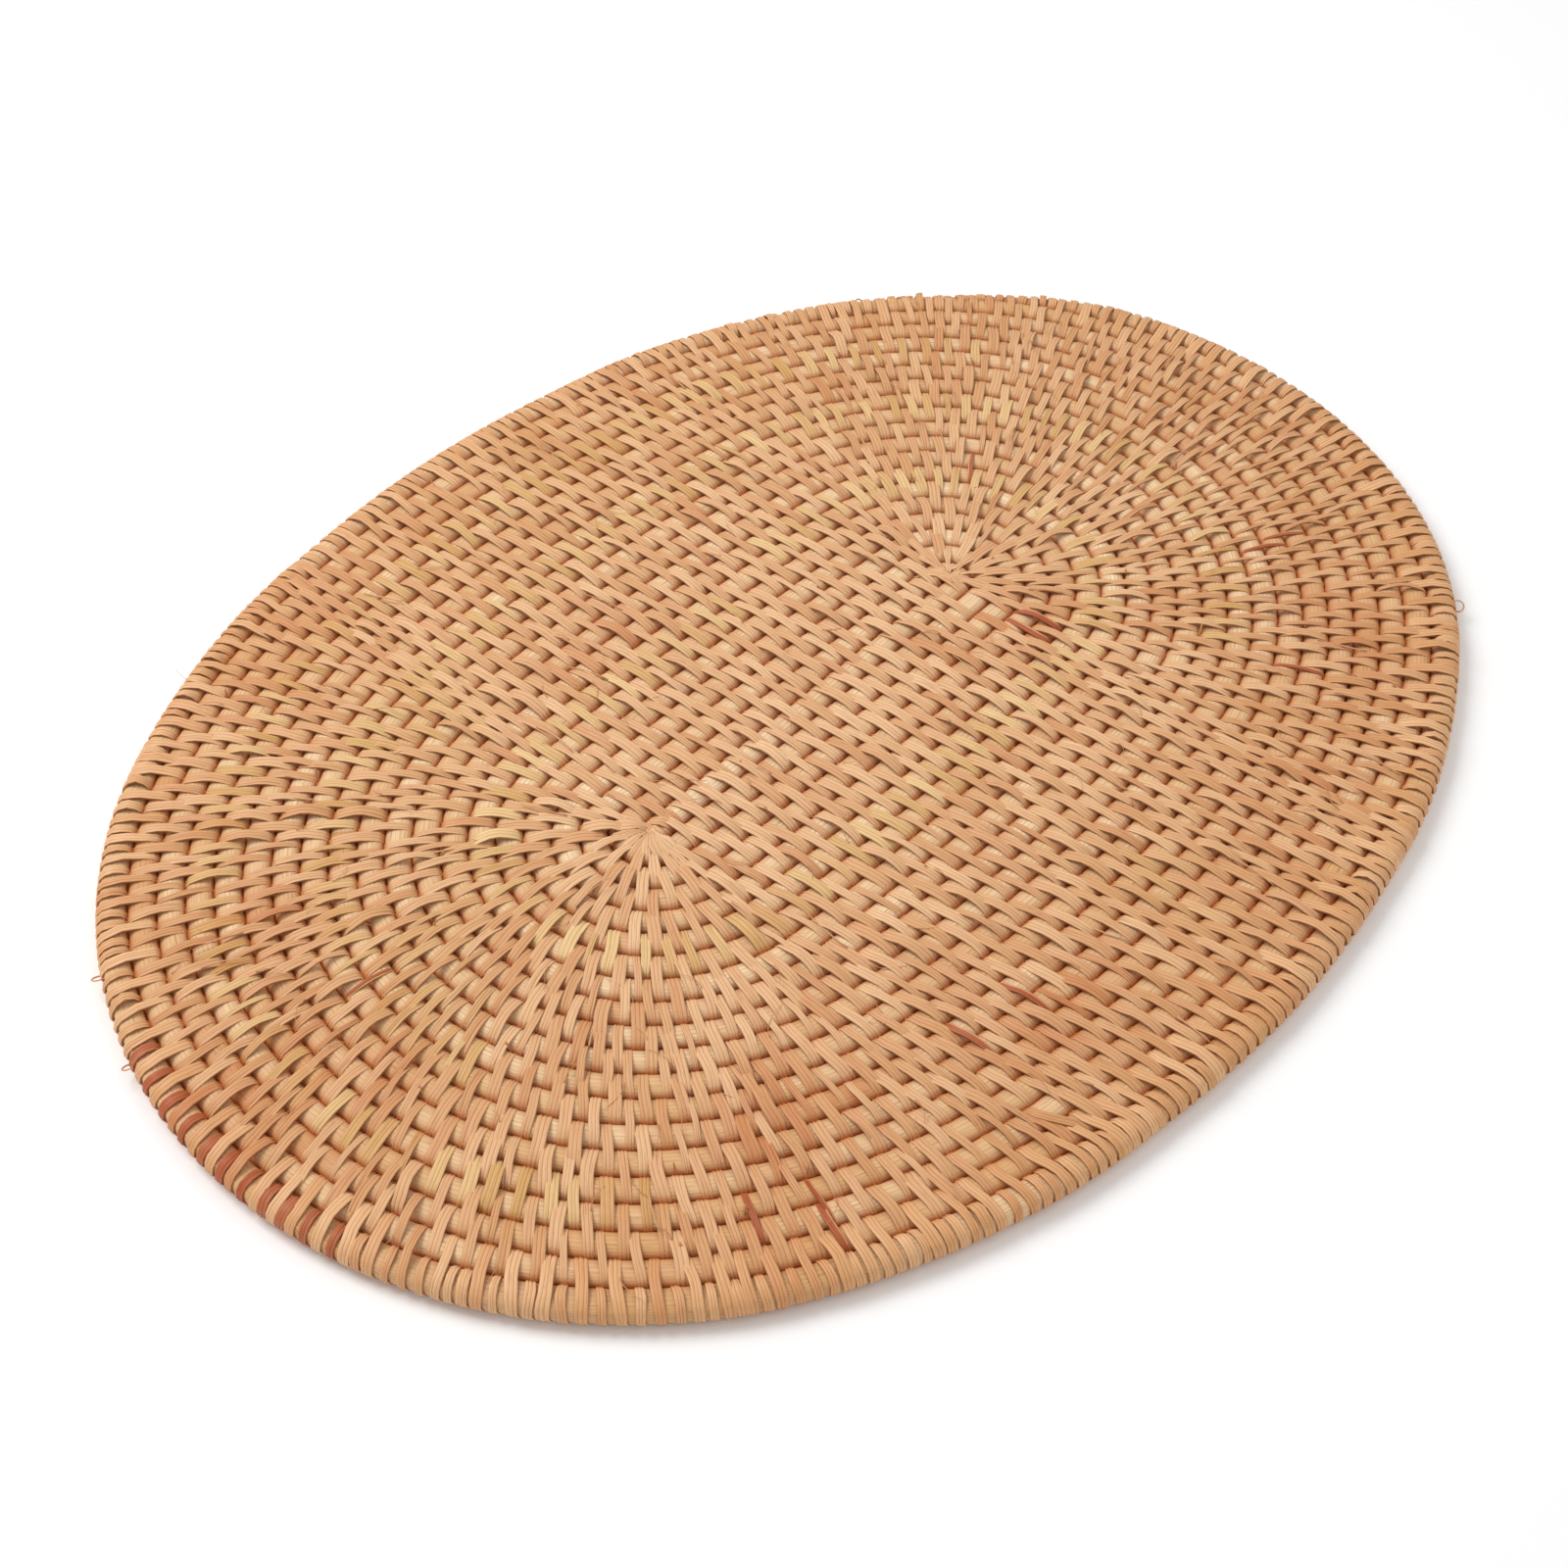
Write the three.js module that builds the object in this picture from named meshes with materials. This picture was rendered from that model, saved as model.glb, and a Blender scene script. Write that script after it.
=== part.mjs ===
// Coiled rattan seat pad.
//
// A round cane core is wound flat into an oval, from a straight run at the heart outwards,
// and flat strips of split rattan bind it row to row. Each strip is modelled as the sleeve
// that its stitches make round the stretch of core it covers; the last turn, the rim, has
// strips of its own. Strips follow one another along the coil, and so do the core's canes.
//
// Millimetres, +Z up, X along the oval. The origin is the middle of the underside.

import * as THREE from 'three';

// Driving dimensions.
const PAD_LENGTH = 400;
const PAD_WIDTH = 300;
const CORE_DIAMETER = 5.0;
const CORE_CLEARANCE = 0.3;     // between the core and the strip round it
const STRIP_THICKNESS = 0.4;
const LAP_THICKNESS = 0.4;      // extra height where stitches of neighbouring rows lap
const ROW_GAP = 0.6;            // between rows where the coil is tightest, at the ends
const SIDE_EASE = 1.06;         // least spread of the rows across the long sides
const BUTT_GAP = 0.4;           // between lengths that follow one another
const COIL_END_ANGLE = 47;      // degrees round the last end turn where the coil stops
const CORE_LENGTHS = 5;
const BINDING_STRIPS = 24;
const RIM_STRIPS = 4;

// How finely the coil is cut into straight lengths.
const INNER_ROWS = 3;           // rows near the heart, with half as many cuts round an end
const END_CUTS = 8;
const SIDE_CUTS = 4;
const TURN_CUTS = 2 * (END_CUTS + SIDE_CUTS);

// Worked out from the driving dimensions.
const WRAP = CORE_CLEARANCE + STRIP_THICKNESS;
const ROW_WIDTH = CORE_DIAMETER + 2 * WRAP;
const ROW_HEIGHT = ROW_WIDTH + 2 * LAP_THICKNESS;
const PITCH = ROW_WIDTH + ROW_GAP;
const ROWS = Math.floor((PAD_WIDTH - ROW_WIDTH) / (2 * PITCH * SIDE_EASE));
const HALF_START = (PAD_LENGTH - ROW_WIDTH - (2 * ROWS + 0.5) * PITCH) / 2;
const SPREAD = (PAD_WIDTH - ROW_WIDTH) / (2 * ROWS * PITCH) - 1;
const SPREAD_REACH = HALF_START + 0.53 * ROWS * PITCH;

// Rows lie further apart across the long sides than round the ends.
function spreadSideways(x, y) {
  const share = Math.min(Math.abs(x) / SPREAD_REACH, 1);
  return new THREE.Vector3(x, y * (1 + SPREAD * Math.cos(share * Math.PI / 2) ** 2), 0);
}

// A stop on the coil: where it is, and which way the coil runs there.
function addStop(stops, x, y, headingX, headingY) {
  const here = spreadSideways(x, y);
  const ahead = spreadSideways(x + headingX * 0.001, y + headingY * 0.001);
  stops.push({ at: here, along: ahead.sub(here).normalize() });
}

// Round one end, from one angle to another (degrees), without its first point.
function addEndTurn(stops, centreX, centreY, radius, from, to, stopAt = to) {
  const cuts = radius > (INNER_ROWS + 0.75) * PITCH ? END_CUTS : END_CUTS / 2;
  for (let cut = 1; cut <= cuts; cut += 1) {
    const angle = Math.min(from + ((to - from) * cut) / cuts, stopAt);
    const a = THREE.MathUtils.degToRad(angle);
    addStop(stops, centreX + radius * Math.cos(a), centreY + radius * Math.sin(a),
      -Math.sin(a), Math.cos(a));
    if (angle === stopAt) return;
  }
}

// Along one long side, from one end's centre to the other's, without its first point.
function addSide(stops, fromX, y) {
  const heading = -Math.sign(fromX);
  for (let cut = 1; cut <= SIDE_CUTS; cut += 1) {
    addStop(stops, fromX * (1 - (2 * cut) / SIDE_CUTS), y, heading, 0);
  }
}

// The whole coil, counter-clockwise from the heart to the outer end.
function coilStops() {
  const stops = [];
  addStop(stops, -HALF_START, 0, 1, 0);
  addSide(stops, -HALF_START, 0);
  for (let row = 1; row <= ROWS; row += 1) {
    addEndTurn(stops, HALF_START, PITCH / 2, (row - 0.5) * PITCH, -90, 90);
    addSide(stops, HALF_START, row * PITCH);
    addEndTurn(stops, -HALF_START, 0, row * PITCH, 90, 270);
    addSide(stops, -HALF_START, -row * PITCH);
  }
  addEndTurn(stops, HALF_START, PITCH / 2, (ROWS + 0.5) * PITCH, -90, 90, COIL_END_ANGLE);
  return stops;
}

// A path through stops first..last, drawn in by half a gap at either end.
class CoilPath extends THREE.Curve {
  constructor(stops, first, last) {
    super();
    this.stops = stops.slice(first, last + 1);
  }

  getPoint(t) {
    const last = this.stops.length - 1;
    const place = THREE.MathUtils.clamp(t, 0, 1) * last;
    const index = Math.min(Math.floor(place), last - 1);
    const point = this.stops[index].at.clone().lerp(this.stops[index + 1].at, place - index);
    if (place === 0) point.addScaledVector(this.heading(0), BUTT_GAP / 2);
    if (place === last) point.addScaledVector(this.heading(last - 1), -BUTT_GAP / 2);
    return point;
  }

  heading(index) {
    return this.stops[index + 1].at.clone().sub(this.stops[index].at).normalize();
  }

  getPointAt(t) {
    return this.getPoint(t);
  }

  getTangentAt(t) {
    return this.stops[Math.round(t * (this.stops.length - 1))].along.clone();
  }

  getSpacedPoints(divisions) {
    return Array.from({ length: divisions + 1 }, (_, i) => this.getPoint(i / divisions));
  }
}

// A six-sided section with flats above and below. The extrusion's x runs up the section.
function sixSided(Outline, width, height) {
  const side = width / 2;
  const top = height / 2;
  const flat = width / 4;
  const outline = new Outline();
  outline.moveTo(0, side);
  outline.lineTo(-top, flat);
  outline.lineTo(-top, -flat);
  outline.lineTo(0, -side);
  outline.lineTo(top, -flat);
  outline.lineTo(top, flat);
  outline.closePath();
  return outline;
}

function coreSection() {
  return sixSided(THREE.Shape, CORE_DIAMETER, CORE_DIAMETER);
}

function sleeveSection() {
  const section = sixSided(THREE.Shape, ROW_WIDTH, ROW_HEIGHT);
  const bore = CORE_DIAMETER + 2 * CORE_CLEARANCE;
  section.holes.push(sixSided(THREE.Path, bore, bore));
  return section;
}

// Shares a stretch of the coil out into lengths as even as its stops allow.
function shareOut(stops, first, last, lengths) {
  const run = [0];
  for (let i = first + 1; i <= last; i += 1) {
    run.push(run[run.length - 1] + stops[i].at.distanceTo(stops[i - 1].at));
  }
  const total = run[run.length - 1];
  const joins = [first];
  for (let length = 1; length < lengths; length += 1) {
    const target = (total * length) / lengths;
    const past = run.findIndex((distance) => distance >= target);
    const nearer = target - run[past - 1] < run[past] - target ? past - 1 : past;
    joins.push(Math.max(first + nearer, joins[joins.length - 1] + 1));
  }
  joins.push(last);
  return joins;
}

// The pieces of one kind that follow each other along a stretch of the coil.
function addLengths(pad, stops, first, last, lengths, nameOf, section, materialOf) {
  const joins = shareOut(stops, first, last, lengths);
  for (let length = 0; length < lengths; length += 1) {
    const steps = joins[length + 1] - joins[length];
    const path = new CoilPath(stops, joins[length], joins[length + 1]);
    const geometry = new THREE.ExtrudeGeometry(section, { steps, extrudePath: path, bevelEnabled: false });
    geometry.translate(0, 0, ROW_HEIGHT / 2);
    const mesh = new THREE.Mesh(geometry, materialOf(length));
    mesh.name = nameOf(length + 1);
    pad.add(mesh);
  }
}

const cane = new THREE.MeshStandardMaterial({ color: 0xe6c08d, roughness: 0.55, metalness: 0 });
const peeledStrip = new THREE.MeshStandardMaterial({ color: 0xd9ad80, roughness: 0.5, metalness: 0 });
const greenStrip = new THREE.MeshStandardMaterial({ color: 0xd6c487, roughness: 0.5, metalness: 0 });
const rimStrip = new THREE.MeshStandardMaterial({ color: 0xd0a274, roughness: 0.5, metalness: 0 });

const twoDigits = (number) => String(number).padStart(2, '0');

function seatPad() {
  const pad = new THREE.Group();
  const stops = coilStops();
  const last = stops.length - 1;
  const rimStart = last - TURN_CUTS - 1;
  addLengths(pad, stops, 0, last, CORE_LENGTHS, (n) => `core_cane_${n}`, coreSection(), () => cane);
  addLengths(pad, stops, 0, rimStart, BINDING_STRIPS, (n) => `binding_strip_${twoDigits(n)}`,
    sleeveSection(), (n) => (n % 7 === 4 ? greenStrip : peeledStrip));
  addLengths(pad, stops, rimStart, last, RIM_STRIPS, (n) => `rim_strip_${n}`, sleeveSection(), () => rimStrip);
  const middle = new THREE.Box3().setFromObject(pad).getCenter(new THREE.Vector3());
  pad.position.set(-middle.x, -middle.y, 0);
  return pad;
}

const group = seatPad();

export default group;
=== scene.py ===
"""Coiled rattan seat pad: a round cane wound flat into an oval and stitched with split rattan."""

import logging
import math
import random
from dataclasses import dataclass, field, replace
from enum import Enum

import bmesh
import bpy
import numpy as np
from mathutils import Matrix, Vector


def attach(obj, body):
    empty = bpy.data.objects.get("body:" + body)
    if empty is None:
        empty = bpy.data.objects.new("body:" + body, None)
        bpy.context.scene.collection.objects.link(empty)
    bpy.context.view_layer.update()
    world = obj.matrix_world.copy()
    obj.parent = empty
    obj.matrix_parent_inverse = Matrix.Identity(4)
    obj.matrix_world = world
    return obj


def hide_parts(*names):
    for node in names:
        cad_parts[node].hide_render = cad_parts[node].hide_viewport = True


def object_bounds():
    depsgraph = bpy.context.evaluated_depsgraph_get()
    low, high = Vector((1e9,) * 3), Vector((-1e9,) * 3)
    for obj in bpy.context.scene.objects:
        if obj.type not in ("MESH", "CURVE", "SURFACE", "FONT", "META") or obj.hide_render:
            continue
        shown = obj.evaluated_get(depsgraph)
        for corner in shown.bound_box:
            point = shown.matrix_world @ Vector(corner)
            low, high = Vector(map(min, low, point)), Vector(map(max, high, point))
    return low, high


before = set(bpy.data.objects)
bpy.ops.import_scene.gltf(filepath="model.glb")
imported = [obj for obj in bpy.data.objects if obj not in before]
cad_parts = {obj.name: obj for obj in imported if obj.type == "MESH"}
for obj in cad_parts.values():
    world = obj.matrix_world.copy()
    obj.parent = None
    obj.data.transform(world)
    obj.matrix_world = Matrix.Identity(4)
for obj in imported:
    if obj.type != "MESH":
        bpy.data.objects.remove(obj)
cad_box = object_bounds()

logging.basicConfig(level=logging.INFO, format="%(message)s")
log = logging.getLogger("seat_pad")

MM = 0.001
SEED = 11

# The grain's map: its layer, and how far it moves along for each metre of cane or strip.
UV_LAYER = "strip"
UV_PER_METRE = 100

# How far the sections of the cane, and of a strip's way round it, are squeezed towards a square.
CANE_SQUARENESS = 2.9
STRIP_SQUARENESS = 2.35

# The phase between a place and one just next to it.
NEXT_TO = 1e-4

# Corners of a sweep that are nearer than this are one corner.
WELD = 1e-7

# How far the floor lies below the pad, so that the two don't share a surface.
FLOOR_GAP = 0.1 * MM


# ---------------------------------------------------------------------------------------------
# The line of the coil
# ---------------------------------------------------------------------------------------------


def eased(share: np.ndarray) -> np.ndarray:
    """A share from 0 to 1 that starts and stops gently."""
    return share * share * (3 - 2 * share)


@dataclass(frozen=True)
class Coil:
    """The centre line of the cane, wound counter-clockwise from the heart of the oval.

    A place on it is a phase: four to a turn, one each for the right end, the far side, the left
    end and the near side. The straight run at the heart has the phases from -1 to 0, and the
    same place one row further in is four less.

    Side ease is the most that rows spread along the sides, and spread reach how far out along
    the rows that spreading goes, for each row. The eye is the least bend at the heart. Tip and
    tip share are the length that is shaved and how thin it ends. Rim shelter is how soon the
    rim's outside stops being hidden.
    """

    length: float
    width: float
    height: float
    row_width: float = 6.4 * MM
    row_gap: float = 0.6 * MM
    side_ease: float = 1.06
    end_angle: float = 47.0
    eye: float = 1.0 * MM
    tip: float = 80 * MM
    tip_share: float = 0.22
    spread_reach: float = 0.53
    rim_shelter: float = 1.4

    @property
    def pitch(self) -> float:
        """How far apart rows lie round the ends."""
        return self.row_width + self.row_gap

    @property
    def rows(self) -> int:
        """Whole turns of the coil."""
        return math.floor((self.width - self.row_width) / (2 * self.pitch * self.side_ease))

    @property
    def half_start(self) -> float:
        """Half the straight run at the heart."""
        return (self.length - self.row_width - (2 * self.rows + 0.5) * self.pitch) / 2

    @property
    def spread(self) -> float:
        """How much further apart rows lie at the middle of the long sides."""
        return (self.width - self.row_width) / (2 * self.rows * self.pitch) - 1

    @property
    def last_phase(self) -> float:
        """The phase of the coil's outer end."""
        return 4 * self.rows + (self.end_angle + 90) / 180

    def turn_and_part(self, phase: np.ndarray) -> tuple[np.ndarray, np.ndarray]:
        """Which turn a phase is on, counted from 1, and how far round that turn it is."""
        turn = np.floor(phase / 4) + 1
        return turn, phase - 4 * (turn - 1)

    def plan(self, phase: np.ndarray, offset: float | np.ndarray = 0.0) -> np.ndarray:
        """Points beside the coil's line, seen from above.

        Args:
            phase: places on the coil.
            offset: distance outwards from the line, before the sides spread.

        Returns:
            One row of x and y for each place.
        """
        phase = np.asarray(phase, float)
        offset = np.broadcast_to(np.asarray(offset, float), phase.shape)
        turn, part = self.turn_and_part(phase)
        start, pitch = self.half_start, self.pitch
        right = np.maximum((turn - 0.5) * pitch + offset, self.eye)
        left = np.maximum(turn * pitch + offset, self.eye)
        right_angle = np.pi * (part - 0.5)
        left_angle = np.pi * (part - 1.5)
        corners = [part < 1, part < 2, part < 3, part >= 3]
        x = np.select(corners, [start + right * np.cos(right_angle), start * (3 - 2 * part),
                                left * np.cos(left_angle) - start, start * (2 * part - 7)])
        y = np.select(corners, [pitch / 2 + right * np.sin(right_angle), turn * pitch + offset,
                                left * np.sin(left_angle), -turn * pitch - offset])
        reach = start + self.spread_reach * self.rows * pitch
        share = np.minimum(np.abs(x) / reach, 1)
        y = y * (1 + self.spread * np.cos(share * np.pi / 2) ** 2)
        return np.stack([x - pitch / 4, y], axis=-1)

    def span(self, phase: np.ndarray) -> np.ndarray:
        """The length of coil that one unit of phase covers."""
        turn, part = self.turn_and_part(np.asarray(phase, float))
        right = np.pi * np.maximum(turn - 0.5, 0.5) * self.pitch
        left = np.pi * np.maximum(turn, 0.5) * self.pitch
        side = np.full_like(right, 2 * self.half_start)
        return np.select([part < 1, part < 2, part < 3], [right, side, left], side)

    def outward(self, phase: np.ndarray) -> np.ndarray:
        """Unit vectors that point out of the oval, square to the rows."""
        ahead = self.plan(phase + NEXT_TO) - self.plan(phase - NEXT_TO)
        out = np.stack([ahead[..., 1], -ahead[..., 0]], axis=-1)
        return out / np.linalg.norm(out, axis=-1, keepdims=True)

    def thickness_share(self, phase: np.ndarray) -> np.ndarray:
        """How thick the cane is there, as a share: it is shaved down to a tip at the outer end."""
        left = (self.last_phase - np.asarray(phase, float)) * self.span(np.array(self.last_phase))
        share = eased(np.clip(left / self.tip, 0, 1))
        return self.tip_share + (1 - self.tip_share) * share

    def shelter(self, phase: np.ndarray, level: np.ndarray) -> np.ndarray:
        """How far a place is shut in between rows, where brown shade is painted.

        Args:
            phase: places on the coil.
            level: how far out of the row each place faces, from -1 for inwards to 1 for outwards.

        Returns:
            1 between rows, falling to 0 on the outside of the rim and at the shaved tip.
        """
        hidden = np.clip(1 - self.rim_shelter * level, 0, 1) * self.thickness_share(phase)
        return np.where(self.on_rim(phase), hidden, 1.0)

    def on_rim(self, phase: np.ndarray) -> np.ndarray:
        """Whether a place is on the last turn, with no row outside it."""
        return phase > self.last_phase - 4

    def inner_room(self, phase: np.ndarray) -> np.ndarray:
        """How far the row inside lies from the middle of the end it goes round.

        Along the straight sides, which have no such middle, it is a metre.
        """
        turn, part = self.turn_and_part(np.asarray(phase, float))
        right = (turn - 1.5) * self.pitch
        left = (turn - 1) * self.pitch
        return np.select([part < 1, (part >= 2) & (part < 3)], [right, left], 1.0)


# ---------------------------------------------------------------------------------------------
# Mesh making
# ---------------------------------------------------------------------------------------------


class Mark(Enum):
    """What each corner of a piece says about its colour, as a share from 0 to 1."""

    TONE = "tone"
    WARM = "warm"
    GREEN = "green"
    SKIN = "skin"
    # Where the painted valley shade may fall: 1 between rows, 0 on the rim's outside.
    SHELTER = "shelter"


class SweptMesh:
    """Sections swept along paths, gathered into one piece.

    Every sweep is a grid of corners, along the path by round the section. The last line round
    the section lies on the first one, and the two ends are filled.
    """

    def __init__(self, name: str) -> None:
        self.name = name
        self.bm = bmesh.new()
        self.uv = self.bm.loops.layers.uv.new(UV_LAYER)
        self.marks = {mark: self.bm.verts.layers.float.new(mark.value) for mark in Mark}

    def sweep(self, points: np.ndarray, uvs: np.ndarray, marks: dict[Mark, np.ndarray],
              creases: tuple[int, ...] = ()) -> None:
        """Adds one swept section.

        Args:
            points: places of the grid's corners, along by round by three.
            uvs: the length along and the share round at each corner.
            marks: colour shares, each one number, one for each corner, or one for each place
                along with a second axis of one.
            creases: which lines round the section are sharp edges.
        """
        along, around = points.shape[:2]
        grid = bmesh.ops.create_grid(self.bm, x_segments=along - 1, y_segments=around - 1, size=1.0)
        spread = {mark: np.broadcast_to(value, (along, around)) for mark, value in marks.items()}
        cells: dict[bmesh.types.BMVert, tuple[int, int]] = {}
        for vert in grid["verts"]:
            cell = (round((vert.co.x + 1) / 2 * (along - 1)), round((vert.co.y + 1) / 2 * (around - 1)))
            cells[vert] = cell
            vert.co = points[cell]
            for mark, value in spread.items():
                vert[self.marks[mark]] = float(value[cell])
        for face in {face for vert in cells for face in vert.link_faces}:
            face.smooth = True
            for loop in face.loops:
                loop[self.uv].uv = uvs[cells[loop.vert]]
        for edge in {edge for vert in cells for edge in vert.link_edges}:
            first, last = (cells[vert][1] for vert in edge.verts)
            edge.smooth = first != last or first not in creases

    def finish(self, material: bpy.types.Material) -> bpy.types.Object:
        """Closes the sweeps and makes the piece.

        Args:
            material: what it is made of.

        Returns:
            The new object, at the origin.
        """
        bm = self.bm
        bmesh.ops.remove_doubles(bm, verts=bm.verts, dist=WELD)
        bmesh.ops.holes_fill(bm, edges=[edge for edge in bm.edges if edge.is_boundary], sides=0)
        bmesh.ops.recalc_face_normals(bm, faces=bm.faces)
        mesh = bpy.data.meshes.new(self.name)
        bm.to_mesh(mesh)
        bm.free()
        mesh.materials.append(material)
        piece = bpy.data.objects.new(self.name, mesh)
        bpy.context.scene.collection.objects.link(piece)
        return piece


def length_along(line: np.ndarray) -> np.ndarray:
    """How far each point lies along a line of points."""
    return np.concatenate([[0], np.cumsum(np.linalg.norm(np.diff(line, axis=0), axis=1))])


def grain_map(run: np.ndarray, rounds: np.ndarray) -> np.ndarray:
    """The grain's map over a sweep.

    Args:
        run: how far along the piece each place is.
        rounds: the share round the section of each line.

    Returns:
        Two map values for each corner, along by round.
    """
    return np.stack(np.broadcast_arrays(run[:, None] * UV_PER_METRE, rounds), axis=-1)


def squared(angle: np.ndarray, squareness: float) -> tuple[np.ndarray, np.ndarray]:
    """Where an angle falls on a round section that is squeezed towards a square.

    Args:
        angle: angles from the sideways direction, in radians.
        squareness: 2 for a true round, more for a squarer section.

    Returns:
        The shares of the half width and of the half height.
    """
    def squeeze(value: np.ndarray) -> np.ndarray:
        return np.sign(value) * np.abs(value) ** (2 / squareness)
    return squeeze(np.cos(angle)), squeeze(np.sin(angle))


def unit(vectors: np.ndarray) -> np.ndarray:
    """Vectors with their lengths made one."""
    return vectors / np.linalg.norm(vectors, axis=-1, keepdims=True)


def smooth_noise(rng: random.Random, places: np.ndarray, spacing: float) -> np.ndarray:
    """Random numbers from -1 to 1 that change slowly along a line.

    Args:
        rng: the source of random numbers.
        places: where the numbers are wanted, never falling.
        spacing: how far it takes to change.

    Returns:
        One number for each place.
    """
    low = float(places.min())
    knots = max(int((float(places.max()) - low) / spacing) + 3, 4)
    values = np.array([rng.uniform(-1, 1) for _ in range(knots)])
    where = (places - low) / spacing
    index = np.floor(where).astype(int)
    share = eased(where - index)
    return values[index] * (1 - share) + values[index + 1] * share


# ---------------------------------------------------------------------------------------------
# Where the rattan's colour changes
# ---------------------------------------------------------------------------------------------


@dataclass(frozen=True)
class Patch:
    """A part of the pad where the rattan is redder, greener or split finer than elsewhere.

    Its middle and its reach are in millimetres.
    """

    x: float
    y: float
    reach: float
    warm: float = 0.0
    green: float = 0.0
    narrow: float = 0.0

    def share(self, points: np.ndarray) -> np.ndarray:
        """How much of the patch shows at each point, from 1 at its middle down to 0."""
        far = np.hypot(points[..., 0] - self.x * MM, points[..., 1] - self.y * MM) / (self.reach * MM)
        return np.exp(-far * far)


PATCHES = (
    Patch(-77, 71, 15, green=0.7), Patch(-98, 33, 17, green=0.55), Patch(-134, 8, 18, green=0.6),
    Patch(10, -109, 17, warm=0.25, green=0.5), Patch(-40, -112, 15, warm=0.8),
    Patch(-109, -84, 20, warm=0.7), Patch(-145, 48, 15, warm=0.7), Patch(-158, 2, 17, warm=0.7),
    Patch(-69, 118, 28, warm=0.4), Patch(60, -28, 12, warm=0.6), Patch(119, -95, 24, warm=0.5),
    Patch(26, -127, 14, warm=0.5), Patch(-197, 10, 24, warm=0.7), Patch(30, 132, 18, green=0.3),
    Patch(105, 29, 10, warm=0.4), Patch(-20, 60, 22, warm=0.3),
    Patch(150, -50, 65, narrow=0.4), Patch(-165, 20, 45, narrow=0.15),
)

# Where stitches still carry the red-brown skin of the cane, in millimetres.
SKIN_PLACES = ((46, -39), (60, -28), (-136, -97), (-120, -108), (-39, -105), (95, -97), (90, -92),
               (105, 29), (31, -86), (-143, 20), (-60, -104), (135, -60))

# How much paler the middle is, and how much of that is lost on the way to the rim.
MIDDLE_PALENESS = 0.2
PALENESS_LOSS = 0.5


def paleness(points: np.ndarray) -> np.ndarray:
    """How much paler the rattan is at each point: the middle is paler than the rim."""
    corner = cad_box[1]
    away = np.hypot(points[..., 0] / corner[0], points[..., 1] / corner[1])
    return MIDDLE_PALENESS - PALENESS_LOSS * away ** 2


def patch_marks(points: np.ndarray) -> tuple[np.ndarray, np.ndarray, np.ndarray]:
    """How much redder, how much greener and how much narrower the rattan is at each point."""
    shares = [patch.share(points) for patch in PATCHES]
    warm = sum(patch.warm * share for patch, share in zip(PATCHES, shares))
    green = sum(patch.green * share for patch, share in zip(PATCHES, shares))
    narrow = sum(patch.narrow * share for patch, share in zip(PATCHES, shares))
    return warm, green, narrow


# ---------------------------------------------------------------------------------------------
# Stitches
# ---------------------------------------------------------------------------------------------


class StitchKind(Enum):
    """What a stitch goes round."""

    TWO_ROWS = "its own row and the row inside"
    ONE_ROW = "its own row alone"


@dataclass(frozen=True)
class Stitch:
    """One stitch over the coil.

    It leans along the coil by so much for each row that it crosses, bows sideways and lifts off
    the cane at its middle. Tone goes from -1 for dark to 1 for pale. Warm and green say how far
    it takes up the colours of the patches, and skin how much red-brown skin it shows.
    """

    phase: float
    kind: StitchKind
    width: float
    lift: float
    lean: float
    bow: float
    tone: float
    warm: float
    green: float
    skin: float


# Turns at the heart that stay tight, and turns over which the rest become even.
TIGHT_TURNS = 2
SETTLING_TURNS = 9


def settled(phase: float) -> float:
    """How far the coil has got from its tight first turns to its even outer ones, from 0 to 1."""
    return min(max((phase / 4 - TIGHT_TURNS) / SETTLING_TURNS, 0.0), 1.0)


@dataclass(frozen=True)
class StitchPlan:
    """Where the stitches lie: each between two of the row inside, with more as rows grow longer.

    A stitch lies nearer the one that it follows: beside is its share of the way to the next.
    """

    coil: Coil
    rng: random.Random
    spacing: float = 6.9 * MM
    end_spacing: float = 4.5 * MM
    most: float = 1.38
    least: float = 0.45
    beside: float = 0.4
    first_lean: float = 0.3 * MM
    last_lean: float = 0.7 * MM
    steepest: float = math.radians(50)
    sway: float = 0.4
    wander: float = 0.8 * MM

    def lay_out(self) -> list[float]:
        """Works out the phase of every stitch that goes round two rows."""
        places = self.first_turn()
        inner = 0
        while places[-1] < self.coil.last_phase:
            places.extend(self.between(places[inner], places[inner + 1], places[-1]))
            inner += 1
        return places

    def lean(self, phase: float) -> float:
        """How far a stitch slants along the coil for each row that it crosses."""
        x, y = self.coil.plan(np.array(phase))
        sway = 1 - self.sway * math.cos(math.atan2(y, x) - self.steepest)
        return (self.first_lean + (self.last_lean - self.first_lean) * settled(phase)) * sway

    def first_turn(self) -> list[float]:
        """Places on the first turn, closer together round its two ends."""
        phase = np.linspace(0, 4, 801)
        _, part = self.coil.turn_and_part(phase)
        on_end = (part < 1) | ((part >= 2) & (part < 3))
        outer = self.coil.span(phase) + np.pi * self.coil.pitch / 2
        pace = np.where(on_end, outer / self.end_spacing, self.coil.span(phase) / self.spacing)
        count = np.concatenate([[0], np.cumsum(pace[:-1] * np.diff(phase))])
        return list(np.interp(np.arange(math.floor(count[-1])), count, phase))

    def between(self, first: float, last: float, before: float) -> list[float]:
        """The next stitches outside two stitches.

        Args:
            first: the phase of one of the two stitches inside.
            last: the phase of the other.
            before: the phase of the stitch before, in the same row.

        Returns:
            None, one or two phases.
        """
        middle = first + self.beside * (last - first) + 4
        span = float(self.coil.span(np.array(middle)))
        middle += (self.lean(middle) + self.rng.uniform(-1, 1) * self.wander) / span
        gap = (middle - before) * span
        if gap < self.least * self.spacing:
            return []
        if gap > self.most * self.spacing:
            return [(before + middle) / 2, middle]
        return [middle]


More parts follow.
